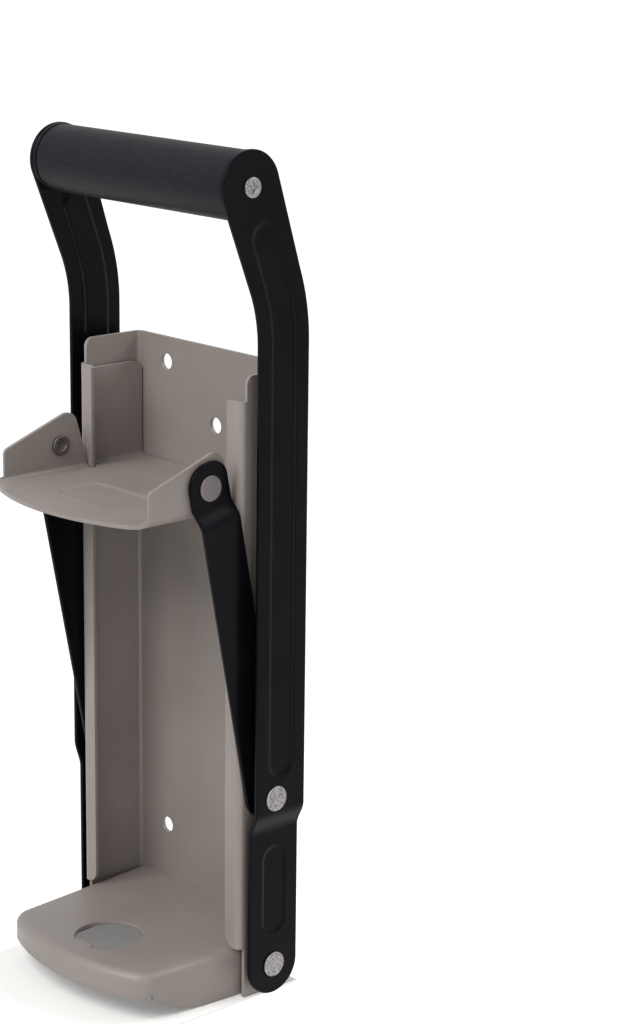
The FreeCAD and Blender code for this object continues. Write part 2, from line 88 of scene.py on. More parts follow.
# %% Camera at the photographer's place
CAMERA_TARGET = Vector((77.46, -19.44, 200.43)) * MM
CAMERA_DISTANCE = 937.41 * MM
CAMERA_AZIMUTH = math.radians(46.99)
CAMERA_ELEVATION = math.radians(14.67)
CAMERA_ROLL = math.radians(0.739)
CAMERA_LENS = 90.24
CAMERA_SENSOR = 36.0
CAMERA_NEAR = 0.01
CAMERA_FAR = 50


def towards(azimuth, elevation):
    """The direction from the crusher to a place at this azimuth and elevation, in radians."""
    level = math.cos(elevation)
    return Vector((math.sin(azimuth) * level, -math.cos(azimuth) * level, math.sin(elevation)))


def make_camera():
    """A camera that looks from its distance at the target, with its three directions as matrix columns."""
    back = towards(CAMERA_AZIMUTH, CAMERA_ELEVATION)
    right = Vector((math.cos(CAMERA_AZIMUTH), math.sin(CAMERA_AZIMUTH), 0))
    up = back.cross(right)
    rolled_right = math.cos(CAMERA_ROLL) * right + math.sin(CAMERA_ROLL) * up
    rolled_up = math.cos(CAMERA_ROLL) * up - math.sin(CAMERA_ROLL) * right
    data = bpy.data.cameras.new("camera")
    data.lens = CAMERA_LENS
    data.sensor_width = CAMERA_SENSOR
    data.clip_start = CAMERA_NEAR
    data.clip_end = CAMERA_FAR
    camera = add_object("camera", data)
    place = Matrix((rolled_right, rolled_up, back)).transposed().to_4x4()
    place.translation = CAMERA_TARGET + back * CAMERA_DISTANCE
    camera.matrix_world = place
    bpy.context.scene.camera = camera
    return camera


camera = make_camera()
print("camera at", [round(v, 3) for v in camera.location])

# %% [markdown]
# ## Helpers for materials
#
# Colours are written the way a picture editor shows them, as sRGB hex, and Blender works in linear light,
# so one function converts them. A second small function adds a node with its settings and sets or links its
# sockets, which keeps each material a short list of nodes. A third starts a material, with an empty tree
# and the Object coordinates that all its patterns are laid out in.

# %% Colours and nodes


def linear(hex_colour):
    """sRGB hex to linear: c / 12.92 below 0.04045, else ((c + 0.055) / 1.055) ** 2.4."""
    parts = [int(hex_colour[i:i + 2], 16) / 255 for i in (1, 3, 5)]
    return tuple(c / 12.92 if c <= 0.04045 else ((c + 0.055) / 1.055) ** 2.4 for c in parts) + (1.0,)


def add_node(tree, kind, sockets=None, **settings):
    """Adds a node. A socket given a value gets it, and one given another node's output is linked to it."""
    node = tree.nodes.new(kind)
    for name, value in settings.items():
        setattr(node, name, value)
    for name, value in (sockets or {}).items():
        if isinstance(value, bpy.types.NodeSocket):
            tree.links.new(value, node.inputs[name])
        else:
            node.inputs[name].default_value = value
    return node


def new_material(name):
    """A material, its empty node tree, and the Object coordinates to lay out its patterns in."""
    material = bpy.data.materials.new(name)
    material.use_nodes = True
    tree = material.node_tree
    tree.nodes.clear()
    place = add_node(tree, "ShaderNodeTexCoord").outputs["Object"]
    return material, tree, place


def per_mm(size):
    """A noise scale, in features per metre, for features of this size in millimetres."""
    return 1 / (size * MM)


# The sockets of a Mix node that mixes colours: its factor, its two colours and its result.
MIX_FACTOR, MIX_FIRST, MIX_SECOND = 0, 6, 7
MIX_RESULT = 2
# Nearly all of a noise lies between these two values.
NOISE_LOW, NOISE_HIGH = 0.3, 0.7
WHITE = (1.0, 1.0, 1.0, 1.0)
print("white is", linear("#ffffff"), "middle grey is", round(linear("#808080")[0], 3))

# %% [markdown]
# ## Warm grey powder coat
#
# The channel, the pan and the crush plate are folded steel sheet under polyester powder coat. Powder is
# sprayed dry and melted in an oven, so it flows into a satin skin with a faint orange peel, about a
# millimetre from dimple to dimple. An image could paint this, but three noises at real sizes also work on
# the folds and inside the holes, and stay sharp up close.

# %% Powder coat on folded steel
# Polyester powder: IOR 1.5, satin roughness, and an orange peel of 1.2 mm.
POWDER_COLOUR = "#918984"
POWDER_SHADE = "#8a827d"
POWDER_CLOUD_MM = 38.0
POWDER_CLOUD_SPAN = (0.35, 0.65)
POWDER_GRAIN_MM = 0.4
POWDER_PEEL_MM = 1.2
POWDER_PEEL_DEPTH_MM = 0.012
POWDER_ROUGHNESS = (0.36, 0.48)
POWDER_SPECULAR = 0.45
SHEARED_EDGE_MM = 0.45
SHEARED_EDGE_SAMPLES = 8


def powder_coat():
    """Two greys in clouds, a fine grain in the roughness, and orange peel over rounded sheared edges."""
    material, tree, place = new_material("warm_grey_polyester_powder_coat")
    cloud = add_node(
        tree,
        "ShaderNodeTexNoise",
        {"Vector": place, "Scale": per_mm(POWDER_CLOUD_MM), "Detail": 3.0},
    )
    patch = add_node(
        tree,
        "ShaderNodeMapRange",
        {"Value": cloud.outputs["Fac"], "From Min": POWDER_CLOUD_SPAN[0], "From Max": POWDER_CLOUD_SPAN[1]},
    )
    colour = add_node(
        tree,
        "ShaderNodeMix",
        {
            MIX_FACTOR: patch.outputs["Result"],
            MIX_FIRST: linear(POWDER_SHADE),
            MIX_SECOND: linear(POWDER_COLOUR),
        },
        data_type="RGBA",
    )
    grain = add_node(
        tree,
        "ShaderNodeTexNoise",
        {"Vector": place, "Scale": per_mm(POWDER_GRAIN_MM), "Detail": 2.0},
    )
    satin = add_node(
        tree,
        "ShaderNodeMapRange",
        {
            "Value": grain.outputs["Fac"],
            "From Min": NOISE_LOW,
            "From Max": NOISE_HIGH,
            "To Min": POWDER_ROUGHNESS[0],
            "To Max": POWDER_ROUGHNESS[1],
        },
    )
    rounded = add_node(
        tree,
        "ShaderNodeBevel",
        {"Radius": SHEARED_EDGE_MM * MM},
        samples=SHEARED_EDGE_SAMPLES,
    )
    peel = add_node(
        tree,
        "ShaderNodeTexNoise",
        {"Vector": place, "Scale": per_mm(POWDER_PEEL_MM), "Detail": 1.0},
    )
    skin = add_node(
        tree,
        "ShaderNodeBump",
        {
            "Height": peel.outputs["Fac"],
            "Distance": POWDER_PEEL_DEPTH_MM * MM,
            "Normal": rounded.outputs["Normal"],
        },
    )
    shader = add_node(
        tree,
        "ShaderNodeBsdfPrincipled",
        {
            "Base Color": colour.outputs[MIX_RESULT],
            "Roughness": satin.outputs["Result"],
            "IOR": 1.5,
            "Specular IOR Level": POWDER_SPECULAR,
            "Normal": skin.outputs["Normal"],
        },
    )
    add_node(tree, "ShaderNodeOutputMaterial", {"Surface": shader.outputs["BSDF"]})
    return material


POWDER_COAT = powder_coat()
print("made", POWDER_COAT.name)

# %% [markdown]
# ## Gloss black enamel
#
# The lever's arms and the links are stamped steel, dipped in black enamel and baked. It is nearly black all
# over, and the eye reads it by the thin grey lights along its rounded and pressed edges. A small specular
# level keeps the flats deep black under a white studio.

# %% Black enamel on stamped steel
# Stoved enamel: IOR 1.5, fairly smooth, with a slow waviness of 5 mm from the dip.
ENAMEL_COLOUR = "#0b0a0f"
ENAMEL_WORN = "#111015"
ENAMEL_CLOUD_MM = 22.0
ENAMEL_CLOUD_SPAN = (0.4, 0.7)
ENAMEL_GRAIN_MM = 0.5
ENAMEL_WAVE_MM = 5.0
ENAMEL_WAVE_DEPTH_MM = 0.012
ENAMEL_ROUGHNESS = (0.22, 0.27)
ENAMEL_SPECULAR = 0.06


def black_enamel():
    """Two near blacks in clouds, a fine grain in the gloss, and a slow wave in the surface."""
    material, tree, place = new_material("gloss_black_stoved_enamel")
    cloud = add_node(
        tree,
        "ShaderNodeTexNoise",
        {"Vector": place, "Scale": per_mm(ENAMEL_CLOUD_MM), "Detail": 3.0},
    )
    patch = add_node(
        tree,
        "ShaderNodeMapRange",
        {"Value": cloud.outputs["Fac"], "From Min": ENAMEL_CLOUD_SPAN[0], "From Max": ENAMEL_CLOUD_SPAN[1]},
    )
    colour = add_node(
        tree,
        "ShaderNodeMix",
        {
            MIX_FACTOR: patch.outputs["Result"],
            MIX_FIRST: linear(ENAMEL_COLOUR),
            MIX_SECOND: linear(ENAMEL_WORN),
        },
        data_type="RGBA",
    )
    grain = add_node(
        tree,
        "ShaderNodeTexNoise",
        {"Vector": place, "Scale": per_mm(ENAMEL_GRAIN_MM), "Detail": 2.0},
    )
    gloss = add_node(
        tree,
        "ShaderNodeMapRange",
        {
            "Value": grain.outputs["Fac"],
            "From Min": NOISE_LOW,
            "From Max": NOISE_HIGH,
            "To Min": ENAMEL_ROUGHNESS[0],
            "To Max": ENAMEL_ROUGHNESS[1],
        },
    )
    wave = add_node(
        tree,
        "ShaderNodeTexNoise",
        {"Vector": place, "Scale": per_mm(ENAMEL_WAVE_MM), "Detail": 1.0},
    )
    skin = add_node(
        tree,
        "ShaderNodeBump",
        {"Height": wave.outputs["Fac"], "Distance": ENAMEL_WAVE_DEPTH_MM * MM},
    )
    shader = add_node(
        tree,
        "ShaderNodeBsdfPrincipled",
        {
            "Base Color": colour.outputs[MIX_RESULT],
            "Roughness": gloss.outputs["Result"],
            "IOR": 1.5,
            "Specular IOR Level": ENAMEL_SPECULAR,
            "Normal": skin.outputs["Normal"],
        },
    )
    add_node(tree, "ShaderNodeOutputMaterial", {"Surface": shader.outputs["BSDF"]})
    return material


BLACK_ENAMEL = black_enamel()
print("made", BLACK_ENAMEL.name)

# %% [markdown]
# ## The sleeve of the grip
#
# The sleeve is a tube of soft black PVC. Extruded PVC has a dull, even skin that turns dusty grey where
# light rakes along it, with faint scuffs from hands. A high roughness spreads the light, and one noise
# drawn out along the tube makes the scuffs.

# %% Soft black PVC
# Plasticised PVC: IOR 1.5, rough, with scuffs about 1 mm wide.
SLEEVE_COLOUR = "#131218"
SLEEVE_SCUFFED = "#1c1b21"
SLEEVE_SCUFF_MM = 1.4
SLEEVE_SCUFF_SPAN = (0.45, 0.75)
SLEEVE_SCUFF_STRETCH = (0.25, 1.0, 1.0)
SLEEVE_GRAIN_MM = 0.35
SLEEVE_GRAIN_DEPTH_MM = 0.012
SLEEVE_ROUGHNESS = (0.44, 0.56)
SLEEVE_SPECULAR = 0.12


def black_pvc():
    """Scuffs drawn out along the tube over black, with a fine grain in the roughness and the bump."""
    material, tree, place = new_material("matte_black_extruded_pvc")
    drawn = add_node(tree, "ShaderNodeMapping", {"Vector": place, "Scale": SLEEVE_SCUFF_STRETCH})
    scuffs = add_node(
        tree,
        "ShaderNodeTexNoise",
        {"Vector": drawn.outputs["Vector"], "Scale": per_mm(SLEEVE_SCUFF_MM), "Detail": 4.0},
    )
    shifted_tone = add_node(
        tree,
        "ShaderNodeMapRange",
        {"Value": scuffs.outputs["Fac"], "From Min": SLEEVE_SCUFF_SPAN[0], "From Max": SLEEVE_SCUFF_SPAN[1]},
    )
    colour = add_node(
        tree,
        "ShaderNodeMix",
        {
            MIX_FACTOR: shifted_tone.outputs["Result"],
            MIX_FIRST: linear(SLEEVE_COLOUR),
            MIX_SECOND: linear(SLEEVE_SCUFFED),
        },
        data_type="RGBA",
    )
    grain = add_node(
        tree,
        "ShaderNodeTexNoise",
        {"Vector": place, "Scale": per_mm(SLEEVE_GRAIN_MM), "Detail": 2.0},
    )
    dull = add_node(
        tree,
        "ShaderNodeMapRange",
        {
            "Value": grain.outputs["Fac"],
            "From Min": NOISE_LOW,
            "From Max": NOISE_HIGH,
            "To Min": SLEEVE_ROUGHNESS[0],
            "To Max": SLEEVE_ROUGHNESS[1],
        },
    )
    skin = add_node(
        tree,
        "ShaderNodeBump",
        {"Height": grain.outputs["Fac"], "Distance": SLEEVE_GRAIN_DEPTH_MM * MM},
    )
    shader = add_node(
        tree,
        "ShaderNodeBsdfPrincipled",
        {
            "Base Color": colour.outputs[MIX_RESULT],
            "Roughness": dull.outputs["Result"],
            "IOR": 1.5,
            "Specular IOR Level": SLEEVE_SPECULAR,
            "Normal": skin.outputs["Normal"],
        },
    )
    add_node(tree, "ShaderNodeOutputMaterial", {"Surface": shader.outputs["BSDF"]})
    return material


BLACK_PVC = black_pvc()
print("made", BLACK_PVC.name)

# %% [markdown]
# ## The caps of the grip
#
# The end caps are moulded from harder black plastic. A spark-eroded mould leaves a fine grain on them, so
# they shine a little tighter than the sleeve.

# %% Moulded black polypropylene
# Polypropylene: IOR 1.49, with a mould grain of 0.6 mm.
CAP_COLOUR = "#100f14"
CAP_GRAIN_MM = 0.6
CAP_GRAIN_DEPTH_MM = 0.01
CAP_ROUGHNESS = (0.34, 0.44)
CAP_SPECULAR = 0.1


def moulded_plastic():
    """One even black with the mould's grain in the roughness and the bump."""
    material, tree, place = new_material("moulded_black_polypropylene")
    grain = add_node(
        tree,
        "ShaderNodeTexNoise",
        {"Vector": place, "Scale": per_mm(CAP_GRAIN_MM), "Detail": 2.0},
    )
    shine = add_node(
        tree,
        "ShaderNodeMapRange",
        {
            "Value": grain.outputs["Fac"],
            "From Min": NOISE_LOW,
            "From Max": NOISE_HIGH,
            "To Min": CAP_ROUGHNESS[0],
            "To Max": CAP_ROUGHNESS[1],
        },
    )
    skin = add_node(
        tree,
        "ShaderNodeBump",
        {"Height": grain.outputs["Fac"], "Distance": CAP_GRAIN_DEPTH_MM * MM},
    )
    shader = add_node(
        tree,
        "ShaderNodeBsdfPrincipled",
        {
            "Base Color": linear(CAP_COLOUR),
            "Roughness": shine.outputs["Result"],
            "IOR": 1.49,
            "Specular IOR Level": CAP_SPECULAR,
            "Normal": skin.outputs["Normal"],
        },
    )
    add_node(tree, "ShaderNodeOutputMaterial", {"Surface": shader.outputs["BSDF"]})
    return material


MOULDED_PLASTIC = moulded_plastic()
print("made", MOULDED_PLASTIC.name)

# %% [markdown]
# ## Zinc-plated steel
#
# Rivets, screws, spacers and the rod inside the grip are steel with a thin bright zinc plate. A barrel
# full of parts tumbles through the bath together, which leaves the flat heads speckled with fine dents. The
# dents are the bump, and the same noise dulls them. The plate is also made darker by how far forward it
# lies. This darkens the rivets of the ears most, because they stand furthest forward.

# %% Bright zinc plate
# Electroplated zinc: metallic, half rough, with dents 0.7 mm apart.
ZINC_COLOUR = "#a3a0a2"
ZINC_DENTED = "#6c686b"
ZINC_DENT_MM = 0.7
ZINC_DENT_SPAN = (0.38, 0.6)
ZINC_DENT_DEPTH_MM = 0.03
ZINC_ROUGHNESS = (0.55, 0.4)
# Towards the front the plate turns darker: its colour moves to this one between these two depths along Y.
ZINC_FRONT_DARK = "#716b6c"
ZINC_DARKENING_START_Y = -37.0 * MM
ZINC_DARKENING_END_Y = -42.0 * MM


def zinc_plate():
    """Metal speckled by dents, which are also its bump, with a darker colour towards the front."""
    material, tree, place = new_material("bright_zinc_plated_steel")
    dents = add_node(
        tree,
        "ShaderNodeTexNoise",
        {"Vector": place, "Scale": per_mm(ZINC_DENT_MM), "Detail": 4.0, "Roughness": 0.7},
    )
    bright = add_node(
        tree,
        "ShaderNodeMapRange",
        {"Value": dents.outputs["Fac"], "From Min": ZINC_DENT_SPAN[0], "From Max": ZINC_DENT_SPAN[1]},
    )
    colour = add_node(
        tree,
        "ShaderNodeMix",
        {
            MIX_FACTOR: bright.outputs["Result"],
            MIX_FIRST: linear(ZINC_DENTED),
            MIX_SECOND: linear(ZINC_COLOUR),
        },
        data_type="RGBA",
    )
    # Darker towards the front: between the two depths the colour moves to the darker one.
    depth = add_node(tree, "ShaderNodeSeparateXYZ", {"Vector": place}).outputs["Y"]
    toward_front = add_node(
        tree,
        "ShaderNodeMapRange",
        {"Value": depth, "From Min": ZINC_DARKENING_START_Y, "From Max": ZINC_DARKENING_END_Y},
    )
    shifted_tone = add_node(
        tree,
        "ShaderNodeMix",
        {
            MIX_FACTOR: toward_front.outputs["Result"],
            MIX_FIRST: colour.outputs[MIX_RESULT],
            MIX_SECOND: linear(ZINC_FRONT_DARK),
        },
        data_type="RGBA",
    )
    rough = add_node(
        tree,
        "ShaderNodeMapRange",
        {"Value": bright.outputs["Result"], "To Min": ZINC_ROUGHNESS[0], "To Max": ZINC_ROUGHNESS[1]},
    )
    skin = add_node(
        tree,
        "ShaderNodeBump",
        {"Height": dents.outputs["Fac"], "Distance": ZINC_DENT_DEPTH_MM * MM},
    )
    shader = add_node(
        tree,
        "ShaderNodeBsdfPrincipled",
        {
            "Base Color": shifted_tone.outputs[MIX_RESULT],
            "Metallic": 1.0,
            "Roughness": rough.outputs["Result"],
            "Normal": skin.outputs["Normal"],
        },
    )
    add_node(tree, "ShaderNodeOutputMaterial", {"Surface": shader.outputs["BSDF"]})
    return material


ZINC_PLATE = zinc_plate()
print("made", ZINC_PLATE.name)

# %% [markdown]
# ## Dressing the pieces that stay
#
# The folded sheets already have their real bends and holes, so they keep their meshes and only get their
# finish. Everything else is zinc until a new piece takes its place.

# %% Finish for every piece
FINISHES = {
    "back_channel": POWDER_COAT,
    "base_pan": POWDER_COAT,
    "crush_plate": POWDER_COAT,
    "lever_arm": BLACK_ENAMEL,
    "link": BLACK_ENAMEL,
    "grip_sleeve": BLACK_PVC,
    "grip_cap": MOULDED_PLASTIC,
}


def dress(obj, material):
    """Gives an object one material in place of any it has."""
    obj.data.materials.clear()
    obj.data.materials.append(material)


def finish_of(name):
    """The finish of a node, which a left and a right one share."""
    plain = name.removesuffix("_left").removesuffix("_right")
    return FINISHES.get(plain, ZINC_PLATE)


for name, obj in nodes.items():
    dress(obj, finish_of(name))
print("dressed", len(nodes), "pieces")

# %% [markdown]
# ## From grids to meshes
#
# Each new piece is a surface over a grid: ring after ring of points, where every ring goes once round the
# piece. One function turns such an array into a closed mesh, and another gives the piece its finish, its
# body and the node that it stands for. Rings that shrink to a line or a point are welded, so nothing
# is left open.

# %% A closed mesh from rings of points
WELD = 1e-3 * MM


def ring_mesh(name, rings, closed=False):
    """Quads join each ring of an array (ring, point, xyz) to the next, and close the loop if told to."""
    count, around, _ = rings.shape
    index = np.arange(count * around).reshape(count, around)
    here = index if closed else index[:-1]
    ahead = np.roll(index, -1, axis=0) if closed else index[1:]
    quads = np.stack([here, np.roll(here, -1, axis=1), np.roll(ahead, -1, axis=1), ahead], axis=-1)
    mesh = bpy.data.meshes.new(name)
    mesh.from_pydata(rings.reshape(-1, 3).tolist(), [], quads.reshape(-1, 4).tolist())
    work = bmesh.new()
    work.from_mesh(mesh)
    bmesh.ops.remove_doubles(work, verts=work.verts, dist=WELD)
    bmesh.ops.recalc_face_normals(work, faces=work.faces)
    work.to_mesh(mesh)
    work.free()
    mesh.shade_smooth()
    return mesh


def add_piece(name, mesh, material, body, node):
    """Puts a new piece in the place of a node, on the node's body."""
    piece = add_object(name, mesh)
    dress(piece, material)
    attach(piece, body)
    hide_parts(node)
    print(name, len(mesh.polygons), "faces, rides on", body)


def middle(node):
    """The middle of a node's box, as (x, y, z)."""
    low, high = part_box(node)
    return (np.array(low) + np.array(high)) / 2


PIVOT = middle("pivot_rivet_right")[1:]
LINK_PIN = middle("link_rivet_right")[1:]
EAR_PIN = middle("ear_rivet_head_right")[1:]
GRIP = middle("grip_rod")[1:]
print("pivot", PIVOT.round(4), "link pin", LINK_PIN.round(4))
print("ear pin", EAR_PIN.round(4), "grip", GRIP.round(4))

# %% [markdown]
# ## A stamped strap
#
# Arms and links are blanked from sheet, and stamping pulls their edges round. Seen from the side, such a
# strap is an outline B around a spine C. Every point of its face is C + r (B - C) with r from 0 to 1,
# which makes rings that shrink from the edge to the spine. Along X the face is lifted by the joggle and
# pressed in by the groove. A quarter circle of rings rounds the edge, and the other face closes the strap.

# %% Rings of a strap
EDGE_RADIUS = 0.5 * MM
EDGE_TURN = np.radians([18, 36, 54, 72, 90])


def smooth_step(t):
    """0 below 0, 1 above 1, and 3 t^2 - 2 t^3 between."""
    t = np.clip(t, 0, 1)
    return t * t * (3 - 2 * t)


def strap_rings(outline, spine, normals, shares, inner_face, sheet, pressed):
    """Rings of C + r (B - C) over the outer face, round the edge and back over the inner face.

    The outline is pulled in by the edge radius before it is shared out, so that the rounded edge ends on it.
    """
    flat = outline - normals * EDGE_RADIUS
    outer, inner = [], []
    for share in shares:
        point = spine + share * (flat - spine)
        x = inner_face(point) - pressed(point)
        outer.append(np.column_stack([x + sheet, point]))
        inner.append(np.column_stack([x, point]))
    rim_x = inner_face(flat) - pressed(flat)
    for turn in EDGE_TURN:
        point = flat + normals * EDGE_RADIUS * math.sin(turn)
        drop = EDGE_RADIUS * (1 - math.cos(turn))
        outer.append(np.column_stack([rim_x + sheet - drop, point]))
        inner.append(np.column_stack([rim_x + drop, point]))
    return np.array(outer + inner[::-1])


def both_sides(node, rings, material, bodies, closed=False):
    """Adds the right piece and its mirror image on the left, for a pair of nodes."""
    for side, sign, body in zip(("right", "left"), (1, -1), bodies):
        name = f"smooth_{node}_{side}"
        mesh = ring_mesh(name, rings * (sign, 1, 1), closed)
        add_piece(name, mesh, material, body, f"{node}_{side}")


print("edge radius", EDGE_RADIUS / MM, "mm in", len(EDGE_TURN), "rings")

# %% [markdown]
# ## The lever's arms
#
# Each arm runs straight up from the pivot, bends forward below the grip and ends in a wider round head. Seen
# from the side it is a middle line with a width, so its outline is that line moved out along its normals.
# The points lie closer together where the surface changes fast.

# %% Outline of an arm
ARM_HALF = 12.2 * MM
ARM_HEAD_RADIUS = 13.6 * MM
ARM_BEND_FOOT = PIVOT[1] + 246.4 * MM
ARM_BEND_RADIUS = 70.0 * MM
ARM_BEND = math.radians(19.6)
ARM_BEND_STEPS = 22
ARM_RUN_STEPS = 30
ARM_FOOT_STEPS = 36
ARM_HEAD_STEPS = 40
# Half width and depth of each groove, then where its middle line starts and ends. The upper one ends at a
# distance past the bend.
UPPER_GROOVE = (6.5 * MM, 0.8 * MM, LINK_PIN[1] + 14.3 * MM, 17.4 * MM)
LOWER_GROOVE = (6.25 * MM, 0.45 * MM, PIVOT[1] + 18.7 * MM, PIVOT[1] + 43.6 * MM)
FINE_STEP = 0.5 * MM
FOOT_STEP = 1.0 * MM
LONG_STEP = 2.0 * MM
FINE_MARGIN = 2.0 * MM
GROOVE_TIP = 7.0 * MM
BEND_CENTRE = np.array([PIVOT[0] - ARM_BEND_RADIUS, ARM_BEND_FOOT])
ACROSS = np.array([math.cos(ARM_BEND), math.sin(ARM_BEND)])
ALONG = np.array([-math.sin(ARM_BEND), math.cos(ARM_BEND)])
BEND_END = BEND_CENTRE + ARM_BEND_RADIUS * ACROSS


def direction(angles):
    """Unit vectors (cos a, sin a) in the plane of an arm, where the first axis points to the rear."""
    return np.column_stack([np.cos(angles), np.sin(angles)])


def arm_side(sign, stations):
    """One long side from the pivot to the head: the outline, its spine and its outward normals."""
    up = np.column_stack([np.full_like(stations, PIVOT[0]), stations])
    straight_normal = np.tile([sign, 0.0], (len(stations), 1))
    turns = np.linspace(0, ARM_BEND, ARM_BEND_STEPS)[1:]
    bend_spine = BEND_CENTRE + ARM_BEND_RADIUS * direction(turns)
    bend_normal = sign * direction(turns)
    run = np.linspace(0, 1, ARM_RUN_STEPS)[1:-1, None]
    run_spine = BEND_END + (GRIP - BEND_END) * run
    run_normal = np.tile(sign * ACROSS, (len(run), 1))
    run_half = ARM_HALF + (ARM_HEAD_RADIUS - ARM_HALF) * run
    spine = np.vstack([up, bend_spine, run_spine])
    normals = np.vstack([straight_normal, bend_normal, run_normal])
    half = np.vstack([np.full((len(up) + len(bend_spine), 1), ARM_HALF), run_half])
    return spine + normals * half, spine, normals


def arm_outline():
    """Round the foot, up the rear side, over the head and down the front side.

    The heights are closer together where a groove ends and where the arm is joggled.
    """
    low_start, low_end = LOWER_GROOVE[2:]
    high_start = UPPER_GROOVE[2]
    stations = np.concatenate([
        np.arange(PIVOT[1], low_start, FOOT_STEP),
        np.arange(low_start - GROOVE_TIP, low_start + FINE_MARGIN, FINE_STEP),
        np.arange(low_end - FINE_MARGIN, high_start + FINE_MARGIN, FINE_STEP),
        np.arange(low_start, low_end, LONG_STEP),
        np.arange(high_start, ARM_BEND_FOOT, LONG_STEP),
        [ARM_BEND_FOOT],
    ])
    stations = np.unique(stations.round(6))
    rear = arm_side(1, stations)
    front = arm_side(-1, stations)
    foot = direction(np.linspace(-math.pi, 0, ARM_FOOT_STEPS)[1:-1])
    head = direction(np.linspace(ARM_BEND, ARM_BEND + math.pi, ARM_HEAD_STEPS))
    foot_part = (PIVOT + foot * ARM_HALF, np.tile(PIVOT, (len(foot), 1)), foot)
    head_part = (GRIP + head * ARM_HEAD_RADIUS, np.tile(GRIP, (len(head), 1)), head)
    front_down = tuple(part[::-1] for part in front)
    return tuple(np.vstack(parts) for parts in zip(foot_part, rear, head_part, front_down))


print("outline of an arm in", len(arm_outline()[0]), "points")

# %% [markdown]
# ## The arms' grooves and joggle
#
# An arm is joggled outwards below the link's rivet, so that the link fits inside it. Two grooves with round
# ends stiffen it: a long one above the rivet and a short, shallow one below. Their depth depends only on
# the distance to the arm's middle line, so one formula serves the straight part and the bend.

# %% Lever arms
ARM_SHEET = 1.8 * MM
ARM_JOGGLE = 3.6 * MM
JOGGLE_LOW = LINK_PIN[1] - 15.2 * MM
JOGGLE_HIGH = LINK_PIN[1] - 5.0 * MM
GROOVE_SLOPE = 1.7 * MM
ARM_INNER_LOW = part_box("lever_arm_right")[1][0] - ARM_SHEET - ARM_JOGGLE


def segment_distance(point, start, end):
    """Distance from points to a straight segment."""
    along = end - start
    share = np.clip((point - start) @ along / (along @ along), 0, 1)
    return np.linalg.norm(point - start - share[:, None] * along, axis=1)


def groove_depth(distance, half, depth):
    """Full depth inside, nothing beyond half, and a smooth slope between."""
    return depth * smooth_step((half - distance) / GROOVE_SLOPE)


def arm_pressed(point):
    """Both grooves: capsules around the middle line, straight and bent."""
    half, depth, low, past_bend = UPPER_GROOVE
    start = np.array([PIVOT[0], low])
    foot = np.array([PIVOT[0], ARM_BEND_FOOT])
    straight = segment_distance(point, start, foot)
    upper = segment_distance(point, BEND_END, BEND_END + ALONG * past_bend)
    from_centre = point - BEND_CENTRE
    angle = np.arctan2(from_centre[:, 1], from_centre[:, 0])
    bent = np.abs(np.linalg.norm(from_centre, axis=1) - ARM_BEND_RADIUS)
    bent = np.where((angle > 0) & (angle < ARM_BEND), bent, np.inf)
    nearest = np.minimum(np.minimum(straight, upper), bent)
    low_half, low_depth, low_start, low_end = LOWER_GROOVE
    short = segment_distance(point, np.array([PIVOT[0], low_start]), np.array([PIVOT[0], low_end]))
    return groove_depth(nearest, half, depth) + groove_depth(short, low_half, low_depth)


def arm_inner_face(point):
    """The joggle: the arm steps outwards between two heights."""
    rise = smooth_step((point[:, 1] - JOGGLE_LOW) / (JOGGLE_HIGH - JOGGLE_LOW))
    return ARM_INNER_LOW + ARM_JOGGLE * rise


ARM_SHARES = np.concatenate([np.linspace(0, 0.6, 20), [0.68, 0.78, 0.88, 0.95, 1.0]])
arm_rings = strap_rings(*arm_outline(), ARM_SHARES, arm_inner_face, ARM_SHEET, arm_pressed)
both_sides("lever_arm", arm_rings, BLACK_ENAMEL, ("lever", "lever"))

# %% [markdown]
# ## The links
#
# A link is a narrower strap between two rivets. It lies outside the channel's flange at its foot and bends
# inwards under its head, where it meets the ear of the crush plate. It is worked out upright, with
# its foot rivet at the origin, and then leaned from pin to pin.

# %% Links
LINK_HALF = 9.2 * MM
LINK_SHEET = 1.7 * MM
LINK_STEP = 3.85 * MM
LINK_HEAD_RISE = 9.6 * MM
LINK_FRONT_CORNER = 9.0 * MM
LINK_REAR_CORNER = 7.0 * MM
LINK_LENGTH = float(np.linalg.norm(EAR_PIN - LINK_PIN))
LINK_SIDE_STEPS = 110
LINK_FOOT_STEPS = 28
LINK_REAR_STEPS = 16
LINK_FRONT_STEPS = 18
LINK_STEP_LOW = LINK_LENGTH - 14.0 * MM
LINK_STEP_HIGH = LINK_LENGTH - 6.0 * MM
LINK_UP = (EAR_PIN - LINK_PIN) / LINK_LENGTH
LINK_REAR = np.array([LINK_UP[1], -LINK_UP[0]])
LINK_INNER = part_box("link_right")[1][0] - LINK_SHEET


